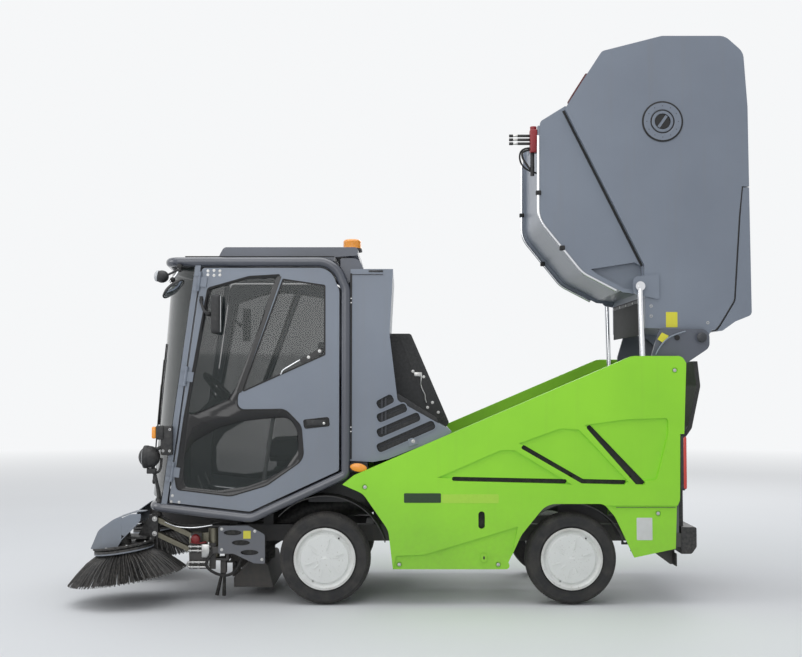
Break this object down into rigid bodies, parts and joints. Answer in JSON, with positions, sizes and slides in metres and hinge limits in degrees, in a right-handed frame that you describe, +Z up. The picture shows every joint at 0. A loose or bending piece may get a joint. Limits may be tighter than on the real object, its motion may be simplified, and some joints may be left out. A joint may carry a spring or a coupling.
{
  "type": "compact street sweeper",
  "caption": "Compact ride-on street sweeper with a glazed cab, side brushes, green side panels and a grey hopper raised to tip.",
  "frame": {"origin": "on the ground under the middle of the outline seen from above", "axes": "+X forwards, +Y to the vehicle's left, +Z up"},
  "size_m": [4.0852, 1.73, 3.396],
  "materials": {
    "green_paint": "gloss",
    "grey_paint": "satin",
    "dark_grey_paint": "satin",
    "black_plastic": "matt",
    "wheel_white": "satin",
    "tyre_rubber": "matt",
    "bristle": "matt",
    "glazing": "polished",
    "seat_fabric": "matt",
    "amber": "gloss",
    "red_lens": "gloss",
    "rod_steel": "polished"
  },
  "bodies": {
    "chassis": {"axles": "dark_grey_paint", "beacon": "amber", "cab_floor": "dark_grey_paint", "cab_frame": "dark_grey_paint", "cab_pillars": "grey_paint", "cab_rear_wall": "dark_grey_paint", "chassis_frame": "dark_grey_paint", "cowl": "grey_paint", "dashboard": "black_plastic", "driver_seat": "seat_fabric", "engine": "dark_grey_paint", "headlamps": "black_plastic", "kerb_mirrors": "black_plastic", "lift_mast": "dark_grey_paint", "nozzle_side_plates": "dark_grey_paint", "rear_bumper": "black_plastic", "rear_cover": "black_plastic", "roof": "dark_grey_paint", "side_indicators": "amber", "side_panels": "green_paint", "suction_duct": "black_plastic", "suction_mouth": "dark_grey_paint", "suction_shroud": "black_plastic", "tail_lamps": "red_lens", "water_tank": "black_plastic", "wheel_liners": "black_plastic", "windscreen": "glazing"},
    "door_left_leaf": {"door_left": "grey_paint", "door_glass_left": "glazing", "door_mirror_left": "black_plastic"},
    "steer_left": {"knuckle_left": "dark_grey_paint"},
    "wheel_front_left_set": {"tyre_front_left": "tyre_rubber", "wheel_front_left": "wheel_white"},
    "wheel_rear_left_set": {"tyre_rear_left": "tyre_rubber", "wheel_rear_left": "wheel_white"},
    "swing_left": {"brush_carrier_left": "dark_grey_paint"},
    "upper_link_left": {"brush_link_upper_left": "dark_grey_paint"},
    "lower_link_left": {"brush_link_lower_left": "dark_grey_paint"},
    "head_left": {"brush_head_left": "dark_grey_paint", "brush_guard_left": "grey_paint"},
    "rotor_left": {"brush_left": "bristle"},
    "door_right_leaf": {"door_right": "grey_paint", "door_glass_right": "glazing", "door_mirror_right": "black_plastic"},
    "steer_right": {"knuckle_right": "dark_grey_paint"},
    "wheel_front_right_set": {"tyre_front_right": "tyre_rubber", "wheel_front_right": "wheel_white"},
    "wheel_rear_right_set": {"tyre_rear_right": "tyre_rubber", "wheel_rear_right": "wheel_white"},
    "swing_right": {"brush_carrier_right": "dark_grey_paint"},
    "upper_link_right": {"brush_link_upper_right": "dark_grey_paint"},
    "lower_link_right": {"brush_link_lower_right": "dark_grey_paint"},
    "head_right": {"brush_head_right": "dark_grey_paint", "brush_guard_right": "grey_paint"},
    "rotor_right": {"brush_right": "bristle"},
    "hopper": {"hopper_body": "grey_paint", "flange_pipes": "rod_steel"},
    "hopper_lid": {"hopper_door": "grey_paint"},
    "barrels": {"lift_barrels": "dark_grey_paint"},
    "rods": {"lift_rods": "rod_steel"}
  },
  "joints": [
    {"name": "steer_left", "type": "hinge", "parent": "chassis", "child": "steer_left", "pos_m": [0.491, 0.4, 0.27], "axis": [0, 0, 1], "range_deg": [-30, 30]},
    {"name": "wheel_front_left_spin", "type": "hinge", "parent": "steer_left", "child": "wheel_front_left_set", "pos_m": [0.491, 0.52, 0.27], "axis": [0, 1, 0], "continuous": true},
    {"name": "wheel_rear_left_spin", "type": "hinge", "parent": "chassis", "child": "wheel_rear_left_set", "pos_m": [-0.957, 0.52, 0.27], "axis": [0, 1, 0], "continuous": true},
    {"name": "door_left", "type": "hinge", "parent": "chassis", "child": "door_left_leaf", "pos_m": [1.31134, 0.614, 1.34], "axis": [0.1332, 0, -0.9911], "range_deg": [0, 70]},
    {"name": "brush_swing_left", "type": "hinge", "parent": "chassis", "child": "swing_left", "pos_m": [1.167, 0.42, 0.345], "axis": [0, 0, 1], "range_deg": [-8, 15]},
    {"name": "brush_lift_left", "type": "hinge", "parent": "swing_left", "child": "upper_link_left", "pos_m": [1.29, 0.42, 0.38], "axis": [0, 1, 0], "range_deg": [0, 20]},
    {"name": "brush_link_left", "type": "hinge", "parent": "swing_left", "child": "lower_link_left", "pos_m": [1.29, 0.42, 0.292], "axis": [0, 1, 0], "range_deg": [0, 20]},
    {"name": "brush_level_left", "type": "hinge", "parent": "upper_link_left", "child": "head_left", "pos_m": [1.5202, 0.42, 0.48735], "axis": [0, 1, 0], "range_deg": [-20, 0]},
    {"name": "brush_spin_left", "type": "hinge", "parent": "head_left", "child": "rotor_left", "pos_m": [1.69, 0.5, 0.32], "axis": [0.1392, 0, 0.9903], "continuous": true},
    {"name": "steer_right", "type": "hinge", "parent": "chassis", "child": "steer_right", "pos_m": [0.491, -0.4, 0.27], "axis": [0, 0, 1], "range_deg": [-30, 30]},
    {"name": "wheel_front_right_spin", "type": "hinge", "parent": "steer_right", "child": "wheel_front_right_set", "pos_m": [0.491, -0.52, 0.27], "axis": [0, 1, 0], "continuous": true},
    {"name": "wheel_rear_right_spin", "type": "hinge", "parent": "chassis", "child": "wheel_rear_right_set", "pos_m": [-0.957, -0.52, 0.27], "axis": [0, 1, 0], "continuous": true},
    {"name": "door_right", "type": "hinge", "parent": "chassis", "child": "door_right_leaf", "pos_m": [1.31134, -0.614, 1.34], "axis": [-0.1332, 0, 0.9911], "range_deg": [0, 70]},
    {"name": "brush_swing_right", "type": "hinge", "parent": "chassis", "child": "swing_right", "pos_m": [1.167, -0.42, 0.345], "axis": [0, 0, 1], "range_deg": [-15, 8]},
    {"name": "brush_lift_right", "type": "hinge", "parent": "swing_right", "child": "upper_link_right", "pos_m": [1.29, -0.42, 0.38], "axis": [0, 1, 0], "range_deg": [0, 20]},
    {"name": "brush_link_right", "type": "hinge", "parent": "swing_right", "child": "lower_link_right", "pos_m": [1.29, -0.42, 0.292], "axis": [0, 1, 0], "range_deg": [0, 20]},
    {"name": "brush_level_right", "type": "hinge", "parent": "upper_link_right", "child": "head_right", "pos_m": [1.5202, -0.42, 0.48735], "axis": [0, 1, 0], "range_deg": [-20, 0]},
    {"name": "brush_spin_right", "type": "hinge", "parent": "head_right", "child": "rotor_right", "pos_m": [1.69, -0.5, 0.32], "axis": [0.1392, 0, 0.9903], "continuous": true},
    {"name": "hopper_tilt", "type": "hinge", "parent": "chassis", "child": "hopper", "pos_m": [-1.738, 0, 1.57], "axis": [0, 1, 0], "range_deg": [0, 83.2]},
    {"name": "hopper_door", "type": "hinge", "parent": "hopper", "child": "hopper_lid", "pos_m": [-2.048, 0, 2.477], "axis": [0, 1, 0], "range_deg": [0, 70]},
    {"name": "lift_barrels", "type": "hinge", "parent": "chassis", "child": "barrels", "pos_m": [-1.415, 0, 0.456], "axis": [0, 1, 0], "range_deg": [0, 0.3]},
    {"name": "lift_rods", "type": "slide", "parent": "barrels", "child": "rods", "axis": [0.0246, 0, 0.9997], "range_m": [-0.63, 0]}
  ],
  "couplings": [
    {"joint": "brush_link_left", "follows": "brush_lift_left", "ratio": 1},
    {"joint": "brush_level_left", "follows": "brush_lift_left", "ratio": -1},
    {"joint": "brush_link_right", "follows": "brush_lift_right", "ratio": 1},
    {"joint": "brush_level_right", "follows": "brush_lift_right", "ratio": -1},
    {"joint": "steer_right", "follows": "steer_left", "ratio": 1},
    {"joint": "lift_barrels", "follows": "hopper_tilt", "ratio": 0.00312},
    {"joint": "lift_rods", "follows": "hopper_tilt", "m_per_rad": -0.4307}
  ]
}
